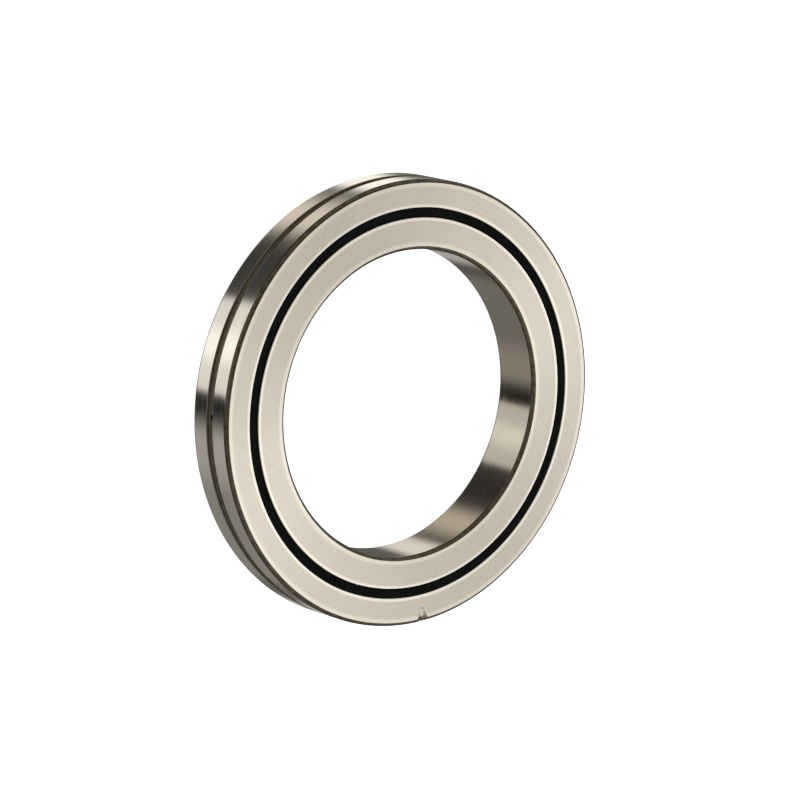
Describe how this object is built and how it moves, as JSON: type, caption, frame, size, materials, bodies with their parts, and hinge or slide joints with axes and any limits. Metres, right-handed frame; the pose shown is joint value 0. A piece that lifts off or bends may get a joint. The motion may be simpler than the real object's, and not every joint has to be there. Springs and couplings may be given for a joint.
{
  "type": "crossed roller bearing",
  "caption": "Flat ring bearing: crossed cylindrical rollers carry radial, axial and tilting loads between an inner ring and a split outer ring with an oil groove and seals.",
  "frame": {"origin": "centre of the bearing, on its axis and midway through its width", "axes": "+Z along the bearing's axis, out of the front face; -Y towards the match mark"},
  "size_m": [0.16, 0.16, 0.02],
  "materials": {
    "ground_steel": "fine ground",
    "roller_steel": "polished",
    "screw_steel": "blackened",
    "seal_rubber": "matt",
    "spacer_resin": "moulded"
  },
  "bodies": {
    "outer_ring": {"outer_ring_front": "ground_steel", "outer_ring_rear": "ground_steel", "front_seal": "seal_rubber", "rear_seal": "seal_rubber", "securing_screw_1": "screw_steel", "securing_screw_2": "screw_steel", "securing_screw_3": "screw_steel"},
    "inner_ring": {"inner_ring": "ground_steel"},
    "roller_set": {"roller_spacers": "spacer_resin"},
    "roller_01": {"roller_01": "roller_steel"},
    "roller_02": {"roller_02": "roller_steel"},
    "roller_03": {"roller_03": "roller_steel"},
    "roller_04": {"roller_04": "roller_steel"},
    "roller_05": {"roller_05": "roller_steel"},
    "roller_06": {"roller_06": "roller_steel"},
    "roller_07": {"roller_07": "roller_steel"},
    "roller_08": {"roller_08": "roller_steel"},
    "roller_09": {"roller_09": "roller_steel"},
    "roller_10": {"roller_10": "roller_steel"},
    "roller_11": {"roller_11": "roller_steel"},
    "roller_12": {"roller_12": "roller_steel"},
    "roller_13": {"roller_13": "roller_steel"},
    "roller_14": {"roller_14": "roller_steel"},
    "roller_15": {"roller_15": "roller_steel"},
    "roller_16": {"roller_16": "roller_steel"},
    "roller_17": {"roller_17": "roller_steel"},
    "roller_18": {"roller_18": "roller_steel"},
    "roller_19": {"roller_19": "roller_steel"},
    "roller_20": {"roller_20": "roller_steel"},
    "roller_21": {"roller_21": "roller_steel"},
    "roller_22": {"roller_22": "roller_steel"},
    "roller_23": {"roller_23": "roller_steel"},
    "roller_24": {"roller_24": "roller_steel"},
    "roller_25": {"roller_25": "roller_steel"},
    "roller_26": {"roller_26": "roller_steel"},
    "roller_27": {"roller_27": "roller_steel"},
    "roller_28": {"roller_28": "roller_steel"},
    "roller_29": {"roller_29": "roller_steel"},
    "roller_30": {"roller_30": "roller_steel"},
    "roller_31": {"roller_31": "roller_steel"},
    "roller_32": {"roller_32": "roller_steel"},
    "roller_33": {"roller_33": "roller_steel"},
    "roller_34": {"roller_34": "roller_steel"},
    "roller_35": {"roller_35": "roller_steel"},
    "roller_36": {"roller_36": "roller_steel"}
  },
  "joints": [
    {"name": "inner_ring_spin", "type": "hinge", "parent": "outer_ring", "child": "inner_ring", "pos_m": [0, 0, 0], "axis": [0, 0, 1], "continuous": true},
    {"name": "roller_orbit", "type": "hinge", "parent": "outer_ring", "child": "roller_set", "pos_m": [0, 0, 0], "axis": [0, 0, 1], "continuous": true},
    {"name": "roller_01_spin", "type": "hinge", "parent": "roller_set", "child": "roller_01", "pos_m": [0.067, 0, 0], "axis": [0.7071, 0, 0.7071], "continuous": true},
    {"name": "roller_02_spin", "type": "hinge", "parent": "roller_set", "child": "roller_02", "pos_m": [0.06598, 0.01163, 0], "axis": [-0.6964, -0.1228, 0.7071], "continuous": true},
    {"name": "roller_03_spin", "type": "hinge", "parent": "roller_set", "child": "roller_03", "pos_m": [0.06296, 0.02292, 0], "axis": [0.6645, 0.2418, 0.7071], "continuous": true},
    {"name": "roller_04_spin", "type": "hinge", "parent": "roller_set", "child": "roller_04", "pos_m": [0.05802, 0.0335, 0], "axis": [-0.6124, -0.3536, 0.7071], "continuous": true},
    {"name": "roller_05_spin", "type": "hinge", "parent": "roller_set", "child": "roller_05", "pos_m": [0.05133, 0.04307, 0], "axis": [0.5417, 0.4545, 0.7071], "continuous": true},
    {"name": "roller_06_spin", "type": "hinge", "parent": "roller_set", "child": "roller_06", "pos_m": [0.04307, 0.05133, 0], "axis": [-0.4545, -0.5417, 0.7071], "continuous": true},
    {"name": "roller_07_spin", "type": "hinge", "parent": "roller_set", "child": "roller_07", "pos_m": [0.0335, 0.05802, 0], "axis": [0.3536, 0.6124, 0.7071], "continuous": true},
    {"name": "roller_08_spin", "type": "hinge", "parent": "roller_set", "child": "roller_08", "pos_m": [0.02292, 0.06296, 0], "axis": [-0.2418, -0.6645, 0.7071], "continuous": true},
    {"name": "roller_09_spin", "type": "hinge", "parent": "roller_set", "child": "roller_09", "pos_m": [0.01163, 0.06598, 0], "axis": [0.1228, 0.6964, 0.7071], "continuous": true},
    {"name": "roller_10_spin", "type": "hinge", "parent": "roller_set", "child": "roller_10", "pos_m": [0, 0.067, 0], "axis": [0, -0.7071, 0.7071], "continuous": true},
    {"name": "roller_11_spin", "type": "hinge", "parent": "roller_set", "child": "roller_11", "pos_m": [-0.01163, 0.06598, 0], "axis": [-0.1228, 0.6964, 0.7071], "continuous": true},
    {"name": "roller_12_spin", "type": "hinge", "parent": "roller_set", "child": "roller_12", "pos_m": [-0.02292, 0.06296, 0], "axis": [0.2418, -0.6645, 0.7071], "continuous": true},
    {"name": "roller_13_spin", "type": "hinge", "parent": "roller_set", "child": "roller_13", "pos_m": [-0.0335, 0.05802, 0], "axis": [-0.3536, 0.6124, 0.7071], "continuous": true},
    {"name": "roller_14_spin", "type": "hinge", "parent": "roller_set", "child": "roller_14", "pos_m": [-0.04307, 0.05133, 0], "axis": [0.4545, -0.5417, 0.7071], "continuous": true},
    {"name": "roller_15_spin", "type": "hinge", "parent": "roller_set", "child": "roller_15", "pos_m": [-0.05133, 0.04307, 0], "axis": [-0.5417, 0.4545, 0.7071], "continuous": true},
    {"name": "roller_16_spin", "type": "hinge", "parent": "roller_set", "child": "roller_16", "pos_m": [-0.05802, 0.0335, 0], "axis": [0.6124, -0.3536, 0.7071], "continuous": true},
    {"name": "roller_17_spin", "type": "hinge", "parent": "roller_set", "child": "roller_17", "pos_m": [-0.06296, 0.02292, 0], "axis": [-0.6645, 0.2418, 0.7071], "continuous": true},
    {"name": "roller_18_spin", "type": "hinge", "parent": "roller_set", "child": "roller_18", "pos_m": [-0.06598, 0.01163, 0], "axis": [0.6964, -0.1228, 0.7071], "continuous": true},
    {"name": "roller_19_spin", "type": "hinge", "parent": "roller_set", "child": "roller_19", "pos_m": [-0.067, 0, 0], "axis": [-0.7071, 0, 0.7071], "continuous": true},
    {"name": "roller_20_spin", "type": "hinge", "parent": "roller_set", "child": "roller_20", "pos_m": [-0.06598, -0.01163, 0], "axis": [0.6964, 0.1228, 0.7071], "continuous": true},
    {"name": "roller_21_spin", "type": "hinge", "parent": "roller_set", "child": "roller_21", "pos_m": [-0.06296, -0.02292, 0], "axis": [-0.6645, -0.2418, 0.7071], "continuous": true},
    {"name": "roller_22_spin", "type": "hinge", "parent": "roller_set", "child": "roller_22", "pos_m": [-0.05802, -0.0335, 0], "axis": [0.6124, 0.3536, 0.7071], "continuous": true},
    {"name": "roller_23_spin", "type": "hinge", "parent": "roller_set", "child": "roller_23", "pos_m": [-0.05133, -0.04307, 0], "axis": [-0.5417, -0.4545, 0.7071], "continuous": true},
    {"name": "roller_24_spin", "type": "hinge", "parent": "roller_set", "child": "roller_24", "pos_m": [-0.04307, -0.05133, 0], "axis": [0.4545, 0.5417, 0.7071], "continuous": true},
    {"name": "roller_25_spin", "type": "hinge", "parent": "roller_set", "child": "roller_25", "pos_m": [-0.0335, -0.05802, 0], "axis": [-0.3536, -0.6124, 0.7071], "continuous": true},
    {"name": "roller_26_spin", "type": "hinge", "parent": "roller_set", "child": "roller_26", "pos_m": [-0.02292, -0.06296, 0], "axis": [0.2418, 0.6645, 0.7071], "continuous": true},
    {"name": "roller_27_spin", "type": "hinge", "parent": "roller_set", "child": "roller_27", "pos_m": [-0.01163, -0.06598, 0], "axis": [-0.1228, -0.6964, 0.7071], "continuous": true},
    {"name": "roller_28_spin", "type": "hinge", "parent": "roller_set", "child": "roller_28", "pos_m": [0, -0.067, 0], "axis": [0, 0.7071, 0.7071], "continuous": true},
    {"name": "roller_29_spin", "type": "hinge", "parent": "roller_set", "child": "roller_29", "pos_m": [0.01163, -0.06598, 0], "axis": [0.1228, -0.6964, 0.7071], "continuous": true},
    {"name": "roller_30_spin", "type": "hinge", "parent": "roller_set", "child": "roller_30", "pos_m": [0.02292, -0.06296, 0], "axis": [-0.2418, 0.6645, 0.7071], "continuous": true},
    {"name": "roller_31_spin", "type": "hinge", "parent": "roller_set", "child": "roller_31", "pos_m": [0.0335, -0.05802, 0], "axis": [0.3536, -0.6124, 0.7071], "continuous": true},
    {"name": "roller_32_spin", "type": "hinge", "parent": "roller_set", "child": "roller_32", "pos_m": [0.04307, -0.05133, 0], "axis": [-0.4545, 0.5417, 0.7071], "continuous": true},
    {"name": "roller_33_spin", "type": "hinge", "parent": "roller_set", "child": "roller_33", "pos_m": [0.05133, -0.04307, 0], "axis": [0.5417, -0.4545, 0.7071], "continuous": true},
    {"name": "roller_34_spin", "type": "hinge", "parent": "roller_set", "child": "roller_34", "pos_m": [0.05802, -0.0335, 0], "axis": [-0.6124, 0.3536, 0.7071], "continuous": true},
    {"name": "roller_35_spin", "type": "hinge", "parent": "roller_set", "child": "roller_35", "pos_m": [0.06296, -0.02292, 0], "axis": [0.6645, -0.2418, 0.7071], "continuous": true},
    {"name": "roller_36_spin", "type": "hinge", "parent": "roller_set", "child": "roller_36", "pos_m": [0.06598, -0.01163, 0], "axis": [-0.6964, 0.1228, 0.7071], "continuous": true}
  ],
  "couplings": [
    {"joint": "roller_orbit", "follows": "inner_ring_spin", "ratio": 0.47625},
    {"joint": "roller_01_spin", "follows": "inner_ring_spin", "ratio": -7.4277},
    {"joint": "roller_02_spin", "follows": "inner_ring_spin", "ratio": -7.4277},
    {"joint": "roller_03_spin", "follows": "inner_ring_spin", "ratio": -7.4277},
    {"joint": "roller_04_spin", "follows": "inner_ring_spin", "ratio": -7.4277},
    {"joint": "roller_05_spin", "follows": "inner_ring_spin", "ratio": -7.4277},
    {"joint": "roller_06_spin", "follows": "inner_ring_spin", "ratio": -7.4277},
    {"joint": "roller_07_spin", "follows": "inner_ring_spin", "ratio": -7.4277},
    {"joint": "roller_08_spin", "follows": "inner_ring_spin", "ratio": -7.4277},
    {"joint": "roller_09_spin", "follows": "inner_ring_spin", "ratio": -7.4277},
    {"joint": "roller_10_spin", "follows": "inner_ring_spin", "ratio": -7.4277},
    {"joint": "roller_11_spin", "follows": "inner_ring_spin", "ratio": -7.4277},
    {"joint": "roller_12_spin", "follows": "inner_ring_spin", "ratio": -7.4277},
    {"joint": "roller_13_spin", "follows": "inner_ring_spin", "ratio": -7.4277},
    {"joint": "roller_14_spin", "follows": "inner_ring_spin", "ratio": -7.4277},
    {"joint": "roller_15_spin", "follows": "inner_ring_spin", "ratio": -7.4277},
    {"joint": "roller_16_spin", "follows": "inner_ring_spin", "ratio": -7.4277},
    {"joint": "roller_17_spin", "follows": "inner_ring_spin", "ratio": -7.4277},
    {"joint": "roller_18_spin", "follows": "inner_ring_spin", "ratio": -7.4277},
    {"joint": "roller_19_spin", "follows": "inner_ring_spin", "ratio": -7.4277},
    {"joint": "roller_20_spin", "follows": "inner_ring_spin", "ratio": -7.4277},
    {"joint": "roller_21_spin", "follows": "inner_ring_spin", "ratio": -7.4277},
    {"joint": "roller_22_spin", "follows": "inner_ring_spin", "ratio": -7.4277},
    {"joint": "roller_23_spin", "follows": "inner_ring_spin", "ratio": -7.4277},
    {"joint": "roller_24_spin", "follows": "inner_ring_spin", "ratio": -7.4277},
    {"joint": "roller_25_spin", "follows": "inner_ring_spin", "ratio": -7.4277},
    {"joint": "roller_26_spin", "follows": "inner_ring_spin", "ratio": -7.4277},
    {"joint": "roller_27_spin", "follows": "inner_ring_spin", "ratio": -7.4277},
    {"joint": "roller_28_spin", "follows": "inner_ring_spin", "ratio": -7.4277},
    {"joint": "roller_29_spin", "follows": "inner_ring_spin", "ratio": -7.4277},
    {"joint": "roller_30_spin", "follows": "inner_ring_spin", "ratio": -7.4277},
    {"joint": "roller_31_spin", "follows": "inner_ring_spin", "ratio": -7.4277},
    {"joint": "roller_32_spin", "follows": "inner_ring_spin", "ratio": -7.4277},
    {"joint": "roller_33_spin", "follows": "inner_ring_spin", "ratio": -7.4277},
    {"joint": "roller_34_spin", "follows": "inner_ring_spin", "ratio": -7.4277},
    {"joint": "roller_35_spin", "follows": "inner_ring_spin", "ratio": -7.4277},
    {"joint": "roller_36_spin", "follows": "inner_ring_spin", "ratio": -7.4277}
  ]
}
